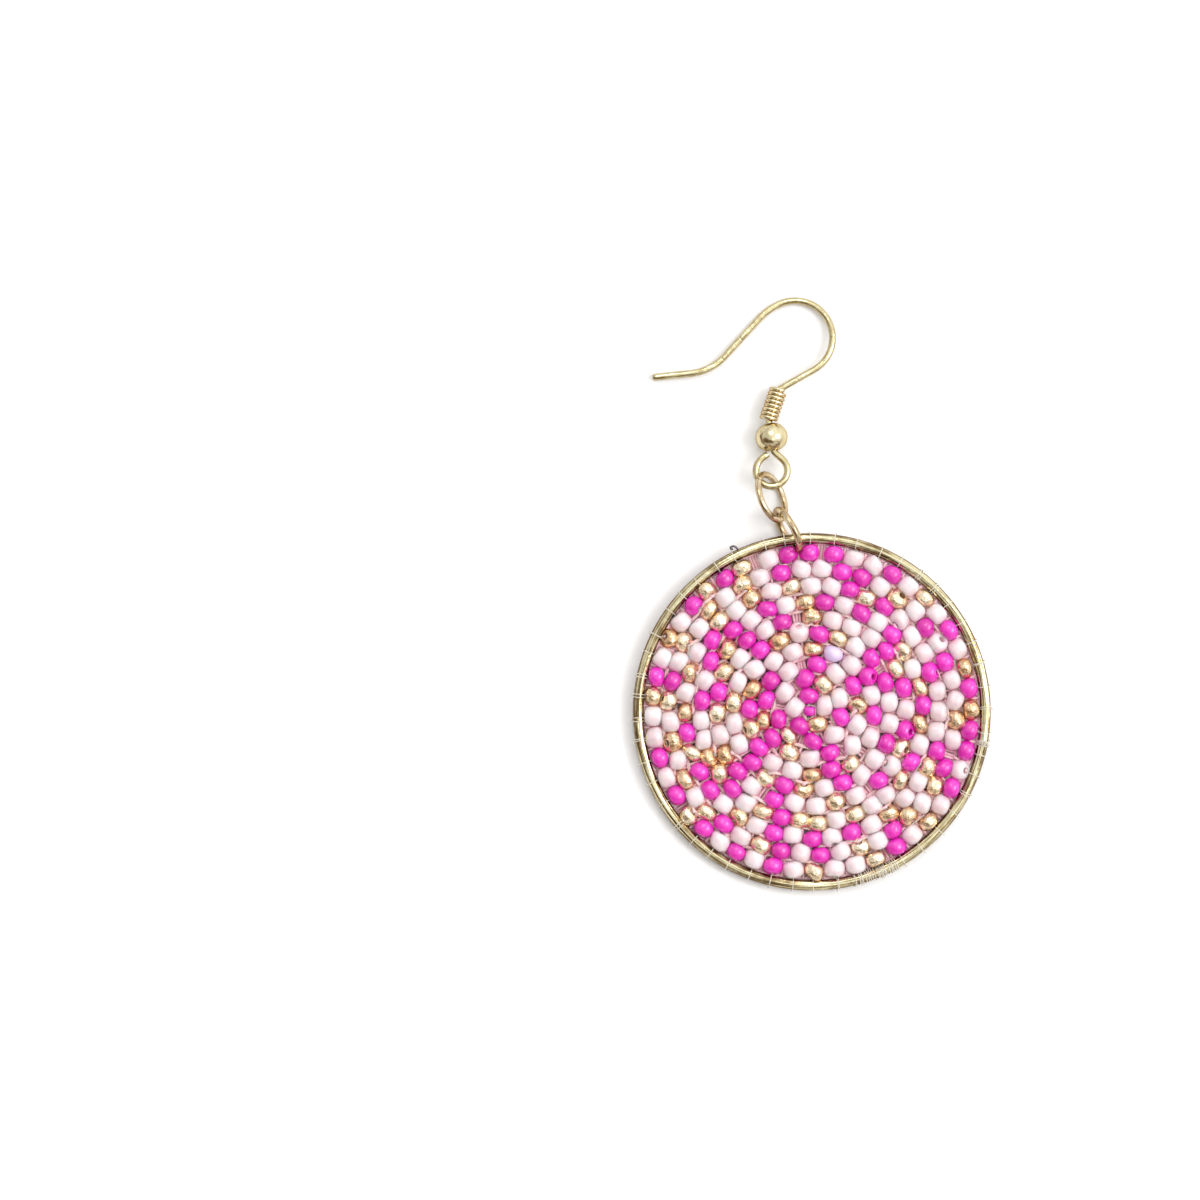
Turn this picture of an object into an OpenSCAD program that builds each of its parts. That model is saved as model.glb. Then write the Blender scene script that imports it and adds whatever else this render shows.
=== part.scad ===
// Beaded hoop earring lying flat, as it rests on a table.
// Origin: under the middle of its bounding box, on the table. +Y runs from the hoop to the ear hook.

/* [Ear wire] */
// Diameter of the ear wire
wire_d = 0.68; // [0.6:0.01:0.68]
// Radius of the hook's main arc
hook_r = 3.75; // [3.7:0.01:3.8]
// Length of the straight slope between hook and tail
slope_l = 5.12; // [4.9:0.01:5.4]
// Radius of the bend from the slope to the tail
tail_bend_r = 5.29; // [5:0.01:5.6]
// Length of the straight tail that passes through the ear
tail_l = 3.82; // [3.6:0.01:4]
// Radius of the loop below the ball, at the middle of the wire
loop_r = 1.575; // [1.56:0.005:1.58]

/* [Coil] */
// Diameter of the coil's wire
coil_wire_d = 0.4; // [0.36:0.01:0.41]
// Outer diameter of the coil
coil_d = 1.86; // [1.84:0.01:1.9]
// Rise of the coil in one turn
coil_pitch = 0.424; // [0.42:0.001:0.43]
// How far round the coil winds, in degrees
coil_turn = 2660; // [2600:10:2660]

/* [Ball] */
// Width of the ball across the wire
ball_w = 3.26; // [3.2:0.01:3.3]
// Height of the ball along the wire
ball_h = 2.8; // [2.7:0.05:2.9]
// Diameter of the hole through the ball
ball_hole_d = 0.86; // [0.84:0.01:0.9]

/* [Rings] */
// Outer diameter of the jump ring in the loop
jump_ring_d = 5.45; // [5.41:0.01:5.47]
// Diameter of the jump ring's wire
jump_ring_wire_d = 0.65; // [0.6:0.01:0.66]
// Outer diameter of the link round the hoop
hoop_link_d = 5.12; // [5.1:0.01:5.16]
// Diameter of the link's wire
hoop_link_wire_d = 0.72; // [0.68:0.01:0.73]
// Width of the fine cut that opens each ring
ring_cut = 0.06; // [0.04:0.01:0.1]

/* [Hoop] */
// Outer diameter of the hoop
hoop_d = 35.79; // [35.7:0.01:35.85]
// Diameter of the hoop's wire
hoop_wire_d = 1.05; // [1:0.01:1.06]

/* [Beadwork] */
// Distance from one ring of beads to the next
row_pitch = 1.58; // [1.56:0.01:1.58]
// Thickness of the layer of beads
bead_d = 1.9; // [1.85:0.01:1.92]
// Number of rings of beads round the middle bead
rows = 10; // [8:1:10]

/* [Hidden] */

// How far the middle of the hoop is from the origin, towards -Y
hoop_y = 11.82;
// How much the hoop leans, since the link lifts it at the hook's end
hoop_lean = 1.58;
hoop_wire_r = (hoop_d - hoop_wire_d) / 2;
beadwork_r = rows * row_pitch + bead_d / 2;
// The beadwork's far lower edge touches the table
hoop_mid_z = bead_d / 2 + rows * row_pitch * sin(hoop_lean);

// The ball lies on the table, and the plane of the ear wire slopes down from it to the hook and the tail
ball_at = [-4.03, 15.65, ball_w / 2];
wire_lean = 6.36;
wire_lean_axis = 28;
// The way the wire runs up through the ball, in plan
ball_turn = 100;

// Steps of the bent wire from the ball, each [bend radius, turn, straight length]: a turn above 0 bends
// to the left, and a radius of 0 is a straight run
RADIUS = 0;
TURN = 1;
LENGTH = 2;
to_coil = [
    [0, 0, 1.47],
    [1.5, -29.1, 0]
];
to_tail = [
    [0, 0, 2.5],
    [0.6, -41.4, 0],
    [0, 0, 3.81],
    [hook_r, 171.9, 0],
    [5.95, 26.4, 0],
    [0, 0, slope_l],
    [tail_bend_r, -42.3, 0]
];
to_loop_end = [
    [0, 0, 1.3],
    [0.7, 39.4, 0],
    [0, 0, 0.75],
    [loop_r, -281.5, 0],
    [0, 0, 0.75]
];

// Middle of the jump ring, the way its long side points in plan, and its lean from flat
jump_ring_at = [-4.053, 9.637, 2.437];
jump_ring_turn = -68.5;
jump_ring_lean = 61.44;
// Where round each ring its cut is
jump_ring_cut_at = 215;
// Middle of the link, the way it points in plan, and its lean from flat
hoop_link_at = [-2.414, 6.402, 2.514];
hoop_link_turn = -61.4;
hoop_link_lean = 77.73;
hoop_link_cut_at = 140;
// Room for the link between the beads
notch_d = 1.75;
notch_at = [-1.66, 4.72];

gold = [0.84, 0.76, 0.52];
pink = [0.95, 0.55, 0.78];
round_fn = 32;

// Sides of the swept wires, and the most that a ring of points turns from the last one
wire_sides = 12;
coil_sides = 8;
longest_turn = 11;
coil_step_turn = 22.5;
// How far the flats of the swept ear wire lie outside its true round
flat_relief = 0.004;
// Where the coil starts along the wire, from the end of the bend above the ball
coil_start = -0.41;
// The tail's round wire reaches this far into the swept wire
tail_root = 0.03;

// Where a step leads from a place [x, y, heading]
function after(at, step) =
    let (side = sign(step[TURN]), next = at.z + step[TURN])
    step[RADIUS] == 0
        ? [at.x + step[LENGTH] * cos(at.z), at.y + step[LENGTH] * sin(at.z), at.z]
        : [
            at.x + side * step[RADIUS] * (sin(next) - sin(at.z)),
            at.y - side * step[RADIUS] * (cos(next) - cos(at.z)),
            next
        ];

// Every place along the steps, the first included
function walk(at, steps, i = 0) =
    i == len(steps) ? [at] : [at, each walk(after(at, steps[i]), steps, i + 1)];

// The same steps with each bend cut into short ones
function short_steps(steps) =
    [for (step = steps)
        let (n = max(1, ceil(abs(step[TURN]) / longest_turn)))
        for (k = [1 : n]) [step[RADIUS], step[TURN] / n, step[LENGTH]]];

ball_up = [0, 0, ball_turn];
ball_down = [0, 0, ball_turn - 180];
coil_at = after(after(ball_up, to_coil[0]), to_coil[1]);
tail_places = walk(coil_at, short_steps(to_tail));
tail_at = tail_places[len(tail_places) - 1];

// A tube through rings of points, which run anticlockwise as seen from further along the tube
module tube(rings) {
    sides = len(rings[0]);
    last = (len(rings) - 1) * sides;
    faces = [
        [for (k = [0 : sides - 1]) k],
        for (i = [0 : len(rings) - 2], k = [0 : sides - 1])
            let (a = i * sides + k, b = i * sides + (k + 1) % sides)
            [a, a + sides, b + sides, b],
        [for (k = [sides - 1 : -1 : 0]) last + k]
    ];
    polyhedron([for (ring = rings) each ring], faces);
}

// Places its children at the ball, in the sloping plane of the ear wire
module at_ball() {
    translate(ball_at) rotate([0, 0, wire_lean_axis]) rotate([-wire_lean, 0, 0])
        rotate([0, 0, -wire_lean_axis]) children();
}

// Places its children at a place along the wire, with +X along the wire
module at_place(place) {
    at_ball() translate([place.x, place.y, 0]) rotate([0, 0, place.z]) children();
}

// A ring of points round the ear wire
function wire_ring(place) =
    let (r = (wire_d / 2 + flat_relief) / cos(180 / wire_sides))
    [for (k = [0 : wire_sides - 1])
        let (a = 360 * (k + 0.5) / wire_sides)
        [place.x - r * cos(a) * sin(place.z), place.y + r * cos(a) * cos(place.z), r * sin(a)]];

module ear_wire() {
    down = walk(ball_down, short_steps(to_loop_end));
    up = walk(ball_up, short_steps(to_coil));
    places = [
        for (i = [len(down) - 1 : -1 : 1]) [down[i].x, down[i].y, down[i].z + 180],
        each up,
        for (i = [1 : len(tail_places) - 1]) tail_places[i]
    ];
    color(gold) {
        at_ball() tube([for (place = places) wire_ring(place)]);
        at_place(tail_at) translate([-tail_root, 0, 0]) rotate([0, 90, 0])
            cylinder(d = wire_d, h = tail_root + tail_l, $fn = round_fn);
    }
}

// A ring of points round the coil's wire, where the helix has turned by turn
function coil_ring(turn) =
    [for (k = [0 : coil_sides - 1])
        let (
            a = 360 * k / coil_sides,
            r = (coil_d - coil_wire_d) / 2 + coil_wire_d / 2 * cos(a)
        )
        [coil_start + coil_pitch * turn / 360 - coil_wire_d / 2 * sin(a), r * cos(turn), r * sin(turn)]];

module wire_coil() {
    steps = round(coil_turn / coil_step_turn);
    color(gold) at_place(coil_at)
        tube([for (i = [0 : steps]) coil_ring(coil_turn * i / steps)]);
}

module ball_bead() {
    color(gold) at_place(ball_up) rotate([0, 90, 0]) rotate_extrude($fn = 64) intersection() {
        translate([(ball_w - ball_h) / 2, 0]) circle(d = ball_h, $fn = 64);
        translate([ball_hole_d / 2, -ball_h]) square([ball_w, 2 * ball_h]);
    }
}

// A round ring of wire with a fine cut
module cut_ring(outer_d, ring_wire_d, cut_at) {
    ring_r = (outer_d - ring_wire_d) / 2;
    cut = 360 * ring_cut / (2 * PI * ring_r);
    rotate([0, 0, cut_at]) rotate_extrude(angle = 360 - cut, $fn = 96)
        translate([ring_r, 0]) circle(d = ring_wire_d, $fn = round_fn);
}

module jump_ring() {
    color(gold) translate(jump_ring_at) rotate([0, 0, jump_ring_turn]) rotate([-jump_ring_lean, 0, 0])
        cut_ring(jump_ring_d, jump_ring_wire_d, jump_ring_cut_at);
}

module hoop_link() {
    color(gold) translate(hoop_link_at) rotate([0, 0, hoop_link_turn]) rotate([hoop_link_lean, 0, 0])
        cut_ring(hoop_link_d, hoop_link_wire_d, hoop_link_cut_at);
}

// Places its children in the middle of the leaning hoop
module at_hoop() {
    translate([0, -hoop_y, hoop_mid_z]) rotate([hoop_lean, 0, 0]) children();
}

module hoop() {
    color(gold) at_hoop() rotate_extrude($fn = 180)
        translate([hoop_wire_r, 0]) circle(d = hoop_wire_d, $fn = round_fn);
}

// One rounded ridge for each ring of beads
module beadwork() {
    color(pink) difference() {
        at_hoop() rotate_extrude($fn = 120) intersection() {
            for (row = [0 : rows]) translate([row * row_pitch, 0]) circle(d = bead_d, $fn = 24);
            translate([0, -bead_d]) square([beadwork_r + bead_d, 2 * bead_d]);
        }
        translate([notch_at[0], notch_at[1], -bead_d]) cylinder(d = notch_d, h = 4 * bead_d, $fn = 32);
    }
}

ear_wire();
wire_coil();
ball_bead();
jump_ring();
hoop_link();
hoop();
beadwork();
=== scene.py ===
"""Looks of the seed bead earring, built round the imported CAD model.

Sizes are in millimetres until a mesh is made, and angles in the tables are in degrees unless a comment
says otherwise.
"""

import math
import random

import bpy
import numpy as np
from mathutils import Matrix, Vector


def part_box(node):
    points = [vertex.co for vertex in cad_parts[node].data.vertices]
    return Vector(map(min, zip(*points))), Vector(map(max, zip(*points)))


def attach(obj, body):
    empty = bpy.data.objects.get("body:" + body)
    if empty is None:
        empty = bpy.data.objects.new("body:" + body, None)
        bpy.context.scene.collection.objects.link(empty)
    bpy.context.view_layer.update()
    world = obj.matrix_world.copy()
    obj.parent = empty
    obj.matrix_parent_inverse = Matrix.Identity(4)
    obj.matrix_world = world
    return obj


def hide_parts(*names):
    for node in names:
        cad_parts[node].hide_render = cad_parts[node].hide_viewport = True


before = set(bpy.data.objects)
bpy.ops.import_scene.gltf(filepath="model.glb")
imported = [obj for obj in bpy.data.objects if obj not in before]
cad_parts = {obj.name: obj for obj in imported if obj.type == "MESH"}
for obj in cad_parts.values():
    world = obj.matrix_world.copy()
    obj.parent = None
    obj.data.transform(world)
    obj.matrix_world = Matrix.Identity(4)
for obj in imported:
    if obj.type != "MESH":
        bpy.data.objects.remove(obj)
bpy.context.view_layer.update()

MM = 0.001


# Placing from the frame

def node_box(node):
    """Lowest and highest corner of a CAD node, in millimetres."""
    low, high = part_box(node)
    return np.array(low) / MM, np.array(high) / MM


HOOP_WIRE_R = 0.525

hoop_low, hoop_high = node_box("hoop")
hoop_mid = (hoop_low + hoop_high) / 2
hoop_outer_r = (hoop_high[0] - hoop_low[0]) / 2
hoop_r = hoop_outer_r - HOOP_WIRE_R
hoop_lean = math.asin((hoop_high[2] - hoop_low[2] - 2 * HOOP_WIRE_R) / (2 * hoop_r))
hoop_frame = Matrix.Translation(hoop_mid) @ Matrix.Rotation(hoop_lean, 4, "X")


# Meshes

def unit(v):
    return v / np.linalg.norm(v, axis=-1, keepdims=True)


def placed(matrix, points):
    """The points moved by a 4x4 matrix."""
    m = np.array(matrix)
    return np.asarray(points) @ m[:3, :3].T + m[:3, 3]


def grid_faces(rows, columns, close_rows=False):
    """Quads of a grid of points whose columns close round."""
    last = rows if close_rows else rows - 1
    i, k = np.meshgrid(np.arange(last), np.arange(columns), indexing="ij")
    a = i * columns + k
    b = i * columns + (k + 1) % columns
    step = (i + 1) % rows
    c = step * columns + (k + 1) % columns
    d = step * columns + k
    return np.stack([a, b, c, d], axis=-1).reshape(-1, 4)


class Mesh:
    """Gathers points, faces and one vector and one number per point into a single Blender mesh."""

    def __init__(self):
        self.points = []
        self.faces = []
        self.along = []
        self.tone = []
        self.count = 0

    def add(self, points, faces, along=None, tone=0.5):
        points = np.asarray(points, float)
        self.points.append(points)
        self.faces.extend([[int(v) + self.count for v in face] for face in faces])
        self.along.append(np.zeros_like(points) if along is None else np.asarray(along, float))
        self.tone.append(np.full(len(points), tone))
        self.count += len(points)

    def build(self, name, material, slot, replaces=()):
        """Makes the Blender object, in metres. It rides on the one body that the part has."""
        mesh = bpy.data.meshes.new(name)
        points = np.concatenate(self.points) * MM
        mesh.from_pydata(points.tolist(), [], self.faces)
        mesh.attributes.new("along", "FLOAT_VECTOR", "POINT").data.foreach_set(
            "vector", np.concatenate(self.along).ravel())
        mesh.attributes.new("tone", "FLOAT", "POINT").data.foreach_set("value", np.concatenate(self.tone))
        mesh.polygons.foreach_set("use_smooth", [True] * len(mesh.polygons))
        mesh.materials.append(material)
        mesh.validate()
        made = bpy.data.objects.new(name, mesh)
        bpy.context.scene.collection.objects.link(made)
        if replaces:
            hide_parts(*replaces)
        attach(made, "root")
        return made


def sweep(path, radius, sides, closed=False, up=(0.0, 0.0, 1.0), blunt=0.0):
    """Points, faces and wire coordinates of a round tube along the path.

    radius is one number or one per point, and blunt rounds the edge of each cut end by that much.
    """
    path = np.asarray(path, float)
    radius = np.broadcast_to(np.asarray(radius, float), len(path)).copy()
    if blunt and not closed:
        path, radius = rounded_ends(path, radius, blunt)
    count = len(path)
    if closed:
        tangent = unit(np.roll(path, -1, axis=0) - np.roll(path, 1, axis=0))
    else:
        tangent = unit(np.gradient(path, axis=0))
    side = np.empty_like(path)
    side[0] = unit(np.cross(up, tangent[0]))
    for i in range(1, count):
        moved = side[i - 1] - tangent[i] * np.dot(side[i - 1], tangent[i])
        side[i] = moved / np.linalg.norm(moved)
    over = np.cross(tangent, side)
    turn = np.arange(sides) * 2 * math.pi / sides
    spoke = side[:, None] * np.cos(turn)[None, :, None] + over[:, None] * np.sin(turn)[None, :, None]
    points = (path[:, None] + spoke * radius[:, None, None]).reshape(-1, 3)
    faces = list(grid_faces(count, sides, closed))
    if not closed:
        faces.append(list(range(sides))[::-1])
        faces.append([(count - 1) * sides + k for k in range(sides)])
    length = np.concatenate([[0], np.cumsum(np.linalg.norm(np.diff(path, axis=0), axis=1))])
    along = np.stack([
        np.repeat(length, sides),
        np.tile(np.cos(turn), count),
        np.tile(np.sin(turn), count)], axis=1)
    return points, faces, along


def rounded_ends(path, radius, blunt):
    """Adds a few rings at each end of a path, which narrow as a rounded edge does."""
    steps = [math.radians(a) for a in (90, 60, 30)]
    ends = []
    for here, inner in ((0, 1), (-1, -2)):
        outward = unit(path[here] - path[inner])
        ends.append((
            [path[here] - outward * blunt * (1 - math.sin(a)) for a in steps],
            [radius[here] - blunt * (1 - math.cos(a)) for a in steps]))
    start, end = ends
    path = np.concatenate([start[0], path[1:-1], end[0][::-1]])
    radius = np.concatenate([start[1], radius[1:-1], end[1][::-1]])
    return path, radius


def smooth_curve(knots, per_span):
    """A Catmull-Rom curve through the knots."""
    knots = np.asarray(knots, float)
    padded = np.concatenate([[2 * knots[0] - knots[1]], knots, [2 * knots[-1] - knots[-2]]])
    out = []
    for i in range(1, len(padded) - 2):
        a, b, c, d = padded[i - 1:i + 3]
        for t in np.arange(per_span) / per_span:
            out.append(0.5 * (2 * b + (c - a) * t + (2 * a - 5 * b + 4 * c - d) * t ** 2
                              + (3 * b - a - 3 * c + d) * t ** 3))
    out.append(knots[-1])
    return np.array(out)


# Node materials

def new_material(name):
    material = bpy.data.materials.new(name)
    material.use_nodes = True
    tree = material.node_tree
    shader = tree.nodes["Principled BSDF"]
    return material, tree, shader


def add_node(tree, kind, inputs=None, **settings):
    node = tree.nodes.new(kind)
    for key, value in settings.items():
        setattr(node, key, value)
    for key, value in (inputs or {}).items():
        if isinstance(value, bpy.types.NodeSocket):
            tree.links.new(value, node.inputs[key])
        else:
            node.inputs[key].default_value = value
    return node


def colour_ramp(tree, factor, stops):
    ramp = add_node(tree, "ShaderNodeValToRGB", {"Fac": factor})
    elements = ramp.color_ramp.elements
    while len(elements) < len(stops):
        elements.new(0.5)
    for element, (place, colour) in zip(elements, stops):
        element.position = place
        element.color = (*colour, 1.0)
    return ramp.outputs["Color"]


def noise(tree, vector, scale, detail=3.0, roughness=0.5):
    inputs = {"Vector": vector, "Scale": scale, "Detail": detail, "Roughness": roughness}
    return add_node(tree, "ShaderNodeTexNoise", inputs).outputs["Fac"]


def remap(tree, value, low, high, from_low=0.3, from_high=0.7):
    """The value carried from one range into another and held there. The first is a noise's by default."""
    inputs = {"Value": value, "From Min": from_low, "From Max": from_high, "To Min": low, "To Max": high}
    return add_node(tree, "ShaderNodeMapRange", inputs).outputs["Result"]


def multiply_add(tree, value, factor, added):
    inputs = {0: value, 1: factor, 2: added}
    return add_node(tree, "ShaderNodeMath", inputs, operation="MULTIPLY_ADD").outputs[0]


def object_place(tree):
    """Places on the object in millimetres."""
    place = add_node(tree, "ShaderNodeTexCoord").outputs["Object"]
    scale = add_node(tree, "ShaderNodeVectorMath", {0: place, 1: (1 / MM,) * 3}, operation="MULTIPLY")
    return scale.outputs["Vector"]


def bump(tree, height, distance_mm, strength=1.0, normal=None):
    inputs = {"Height": height, "Distance": distance_mm * MM, "Strength": strength}
    if normal is not None:
        inputs["Normal"] = normal
    return add_node(tree, "ShaderNodeBump", inputs).outputs["Normal"]


def along_wire(tree, wire, along, across):
    """The wire's own coordinates, stretched by different amounts along and round it."""
    return add_node(tree, "ShaderNodeVectorMath", {0: wire, 1: (along, across, across)},
                    operation="MULTIPLY").outputs["Vector"]


def gold_material(name, stops, edge, run, fine, drawn_mm, flats_mm, painted_side_shade):
    """Polished pale gold plate: fine draw lines and long flats along the wire, small dents, browner streaks.

    run is how many streaks follow each other in a millimetre of wire, and fine how many lie beside each
    other. drawn_mm and flats_mm are the depths of the lines and flats. edge tints grazing reflections, and
    the last argument is how far painted shade darkens the plate towards the sides of the wire.
    """
    material, tree, shader = new_material(name)
    place = object_place(tree)
    wire = add_node(tree, "ShaderNodeAttribute", attribute_name="along").outputs["Vector"]
    lines = noise(tree, along_wire(tree, wire, along=1.5 * run, across=fine), scale=1.0)
    flats = noise(tree, along_wire(tree, wire, along=run, across=1.8), scale=1.0, detail=1.0)
    patches = noise(tree, place, scale=0.9)
    dents = noise(tree, place, scale=2.4, detail=2.0)
    faint = add_node(tree, "ShaderNodeMath", {0: patches, 1: 0.5}, operation="MULTIPLY").outputs[0]
    streaks = multiply_add(tree, lines, 1.5, faint)
    round_wire = add_node(tree, "ShaderNodeSeparateXYZ", {0: wire}).outputs["Y"]
    sideways = add_node(tree, "ShaderNodeMath", {0: round_wire}, operation="ABSOLUTE").outputs[0]
    # Painted shade: the colour is darker towards the sides of the wire, by the last argument.
    sides = remap(tree, sideways, 0.0, -painted_side_shade, from_low=0.65, from_high=1.0)
    streaks_and_painted_side_shade = multiply_add(tree, streaks, 0.5, sides)
    tree.links.new(colour_ramp(tree, streaks_and_painted_side_shade, stops), shader.inputs["Base Color"])
    tree.links.new(remap(tree, lines, 0.08, 0.2), shader.inputs["Roughness"])
    dented = bump(tree, dents, distance_mm=0.03)
    flattened = bump(tree, flats, flats_mm, normal=dented)
    tree.links.new(bump(tree, lines, drawn_mm, normal=flattened), shader.inputs["Normal"])
    shader.inputs["Metallic"].default_value = 1.0
    shader.inputs["Specular Tint"].default_value = (*edge, 1.0)
    shader.inputs["Coat Weight"].default_value = 0.35
    shader.inputs["Coat Roughness"].default_value = 0.06
    return material


# Painted shade: how much dimmer a glass bead is painted at its top and bottom than at its glowing sides
PAINTED_TOP_AND_BOTTOM_DIMMING = (0.85, 0.85, 0.85)


def glass_bead_material(name, stops, rim, roughness, coat, scatter, scatter_mm):
    """Opaque glass, whose colour differs a little from bead to bead, with a soft gloss and faint pits.

    rim is a painted glow halfway between the top and bottom of a bead, which stands in for light that comes
    through its sides, and the top and bottom are painted dimmer. scatter_mm is how far light spreads in it.
    """
    material, tree, shader = new_material(name)
    place = object_place(tree)
    tone = add_node(tree, "ShaderNodeAttribute", attribute_name="tone").outputs["Fac"]
    cloud = noise(tree, place, scale=1.3, detail=2.0)
    mixed = add_node(tree, "ShaderNodeMath", {0: cloud, 1: 0.35}, operation="MULTIPLY").outputs[0]
    shade = multiply_add(tree, tone, 0.65, mixed)
    spot = add_node(tree, "ShaderNodeAttribute", attribute_name="along").outputs["Vector"]
    height = add_node(tree, "ShaderNodeSeparateXYZ", {0: spot}).outputs["Z"]
    depth = add_node(tree, "ShaderNodeMath", {0: height}, operation="ABSOLUTE").outputs[0]
    # Painted light: a glow at the bead's sides and a dimmer top and bottom, set by height.
    painted_glow_tint = colour_ramp(tree, depth, [(0.1, rim), (0.7, PAINTED_TOP_AND_BOTTOM_DIMMING)])
    body = colour_ramp(tree, shade, stops)
    colour = add_node(tree, "ShaderNodeVectorMath", {0: body, 1: painted_glow_tint}, operation="MULTIPLY")
    tree.links.new(colour.outputs["Vector"], shader.inputs["Base Color"])
    pits = noise(tree, place, scale=9.0, detail=4.0, roughness=0.65)
    tree.links.new(remap(tree, pits, roughness - 0.05, roughness + 0.1), shader.inputs["Roughness"])
    waves = noise(tree, place, scale=1.6, detail=1.0)
    waved = bump(tree, waves, distance_mm=0.12, strength=0.35)
    pitted = bump(tree, pits, distance_mm=0.012, strength=0.5, normal=waved)
    tree.links.new(pitted, shader.inputs["Normal"])
    shader.inputs["Coat Weight"].default_value = coat
    shader.inputs["Coat Roughness"].default_value = 0.08
    shader.inputs["Subsurface Weight"].default_value = scatter
    shader.inputs["Subsurface Radius"].default_value = (1.0, 0.5, 0.6)
    shader.inputs["Subsurface Scale"].default_value = scatter_mm * MM
    return material


def gold_bead_material():
    """Metallic champagne glass whose coat is coppery in places and slightly uneven."""
    material, tree, shader = new_material("gold_beads")
    place = object_place(tree)
    tone = add_node(tree, "ShaderNodeAttribute", attribute_name="tone").outputs["Fac"]
    cloud = noise(tree, place, scale=1.7)
    mixed = add_node(tree, "ShaderNodeMath", {0: cloud, 1: 0.6}, operation="MULTIPLY").outputs[0]
    shade = multiply_add(tree, tone, 0.4, mixed)
    stops = [(0.25, (0.70, 0.42, 0.22)), (0.45, (0.83, 0.65, 0.43)), (0.75, (0.92, 0.82, 0.62))]
    tree.links.new(colour_ramp(tree, shade, stops), shader.inputs["Base Color"])
    pits = noise(tree, place, scale=7.0, detail=4.0, roughness=0.6)
    tree.links.new(remap(tree, pits, 0.07, 0.2), shader.inputs["Roughness"])
    waves = noise(tree, place, scale=2.2, detail=2.0)
    waved = bump(tree, waves, distance_mm=0.2, strength=0.7)
    pitted = bump(tree, pits, distance_mm=0.012, strength=0.5, normal=waved)
    tree.links.new(pitted, shader.inputs["Normal"])
    shader.inputs["Metallic"].default_value = 0.85
    shader.inputs["Specular Tint"].default_value = (1.0, 0.42, 0.18, 1.0)
    shader.inputs["Coat Weight"].default_value = 0.5
    shader.inputs["Coat Roughness"].default_value = 0.08
    return material


def thread_material(name, low, high, clear):
    """Nylon with fine twists. clear is how much light goes through it, from 0 to 1."""
    material, tree, shader = new_material(name)
    place = object_place(tree)
    fibres = noise(tree, place, scale=6.0)
    tree.links.new(colour_ramp(tree, fibres, [(0.3, low), (0.7, high)]), shader.inputs["Base Color"])
    tree.links.new(remap(tree, fibres, 0.15, 0.35), shader.inputs["Roughness"])
    tree.links.new(bump(tree, fibres, distance_mm=0.01, strength=0.5), shader.inputs["Normal"])
    shader.inputs["Transmission Weight"].default_value = clear
    shader.inputs["IOR"].default_value = 1.5
    return material


def floor_material():
    """Matt white card with a faint grain."""
    material, tree, shader = new_material("floor")
    place = object_place(tree)
    grain = noise(tree, place, scale=0.8, detail=4.0)
    shade = colour_ramp(tree, grain, [(0.3, (0.935, 0.935, 0.94)), (0.7, (0.95, 0.95, 0.95))])
    tree.links.new(shade, shader.inputs["Base Color"])
    shader.inputs["Roughness"].default_value = 0.85
    return material


# The last number of each gold is its painted shade towards the sides of the wire.
wire_gold = gold_material(
    "wire_gold",
    [(0.38, (0.46, 0.36, 0.17)), (0.48, (0.57, 0.49, 0.27)), (0.60, (0.66, 0.60, 0.38))],
    edge=(0.50, 0.36, 0.22), run=0.5, fine=4.0, drawn_mm=0.005, flats_mm=0.03, painted_side_shade=0.12)
ball_gold = gold_material(
    "ball_gold",
    [(0.38, (0.60, 0.50, 0.28)), (0.60, (0.71, 0.63, 0.40))],
    edge=(0.55, 0.42, 0.28), run=0.6, fine=6.0, drawn_mm=0.004, flats_mm=0.0, painted_side_shade=0.0)
ring_gold = gold_material(
    "ring_gold",
    [(0.38, (0.44, 0.30, 0.17)), (0.48, (0.58, 0.47, 0.29)), (0.60, (0.70, 0.61, 0.42))],
    edge=(0.50, 0.34, 0.20), run=0.5, fine=4.0, drawn_mm=0.006, flats_mm=0.04, painted_side_shade=0.10)
coil_gold = gold_material(
    "coil_gold",
    [(0.34, (0.46, 0.31, 0.14)), (0.46, (0.68, 0.56, 0.32)), (0.60, (0.84, 0.75, 0.49))],
    edge=(0.55, 0.38, 0.22), run=0.6, fine=4.0, drawn_mm=0.004, flats_mm=0.01, painted_side_shade=0.22)
hoop_gold = gold_material(
    "hoop_gold",
    [(0.40, (0.16, 0.10, 0.04)), (0.47, (0.42, 0.33, 0.17)), (0.54, (0.67, 0.61, 0.39))],
    edge=(0.30, 0.18, 0.06), run=0.12, fine=3.4, drawn_mm=0.03, flats_mm=0.15, painted_side_shade=0.14)
# rim is each colour's painted glow at the sides of its beads.
magenta = glass_bead_material(
    "magenta_beads", [(0.2, (0.70, 0.011, 0.43)), (0.8, (0.90, 0.031, 0.60))],
    rim=(1.0, 0.9, 0.95), roughness=0.28, coat=0.8, scatter=0.8, scatter_mm=0.9)
pink = glass_bead_material(
    "pink_beads", [(0.2, (0.84, 0.68, 0.70)), (0.8, (0.94, 0.80, 0.82))],
    rim=(1.0, 0.75, 0.79), roughness=0.26, coat=0.9, scatter=1.0, scatter_mm=1.3)
lavender = glass_bead_material(
    "lavender_bead", [(0.2, (0.73, 0.59, 0.85)), (0.8, (0.81, 0.68, 0.93))],
    rim=(0.95, 0.85, 1.0), roughness=0.28, coat=0.6, scatter=0.5, scatter_mm=0.7)
gold_glass = gold_bead_material()
clear_thread = thread_material("thread", low=(0.92, 0.85, 0.72), high=(0.98, 0.94, 0.84), clear=0.45)
# The netting's pink is painted light: it stands in for the pink light that comes through the beads into the
# gaps.
netting_painted_pink_light = thread_material("netting_painted_pink_light", low=(0.84, 0.52, 0.58), high=(0.94, 0.66, 0.70), clear=0.0)
singed_thread = thread_material(
    "singed_thread", low=(0.05, 0.045, 0.05), high=(0.18, 0.16, 0.17), clear=0.0)


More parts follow.
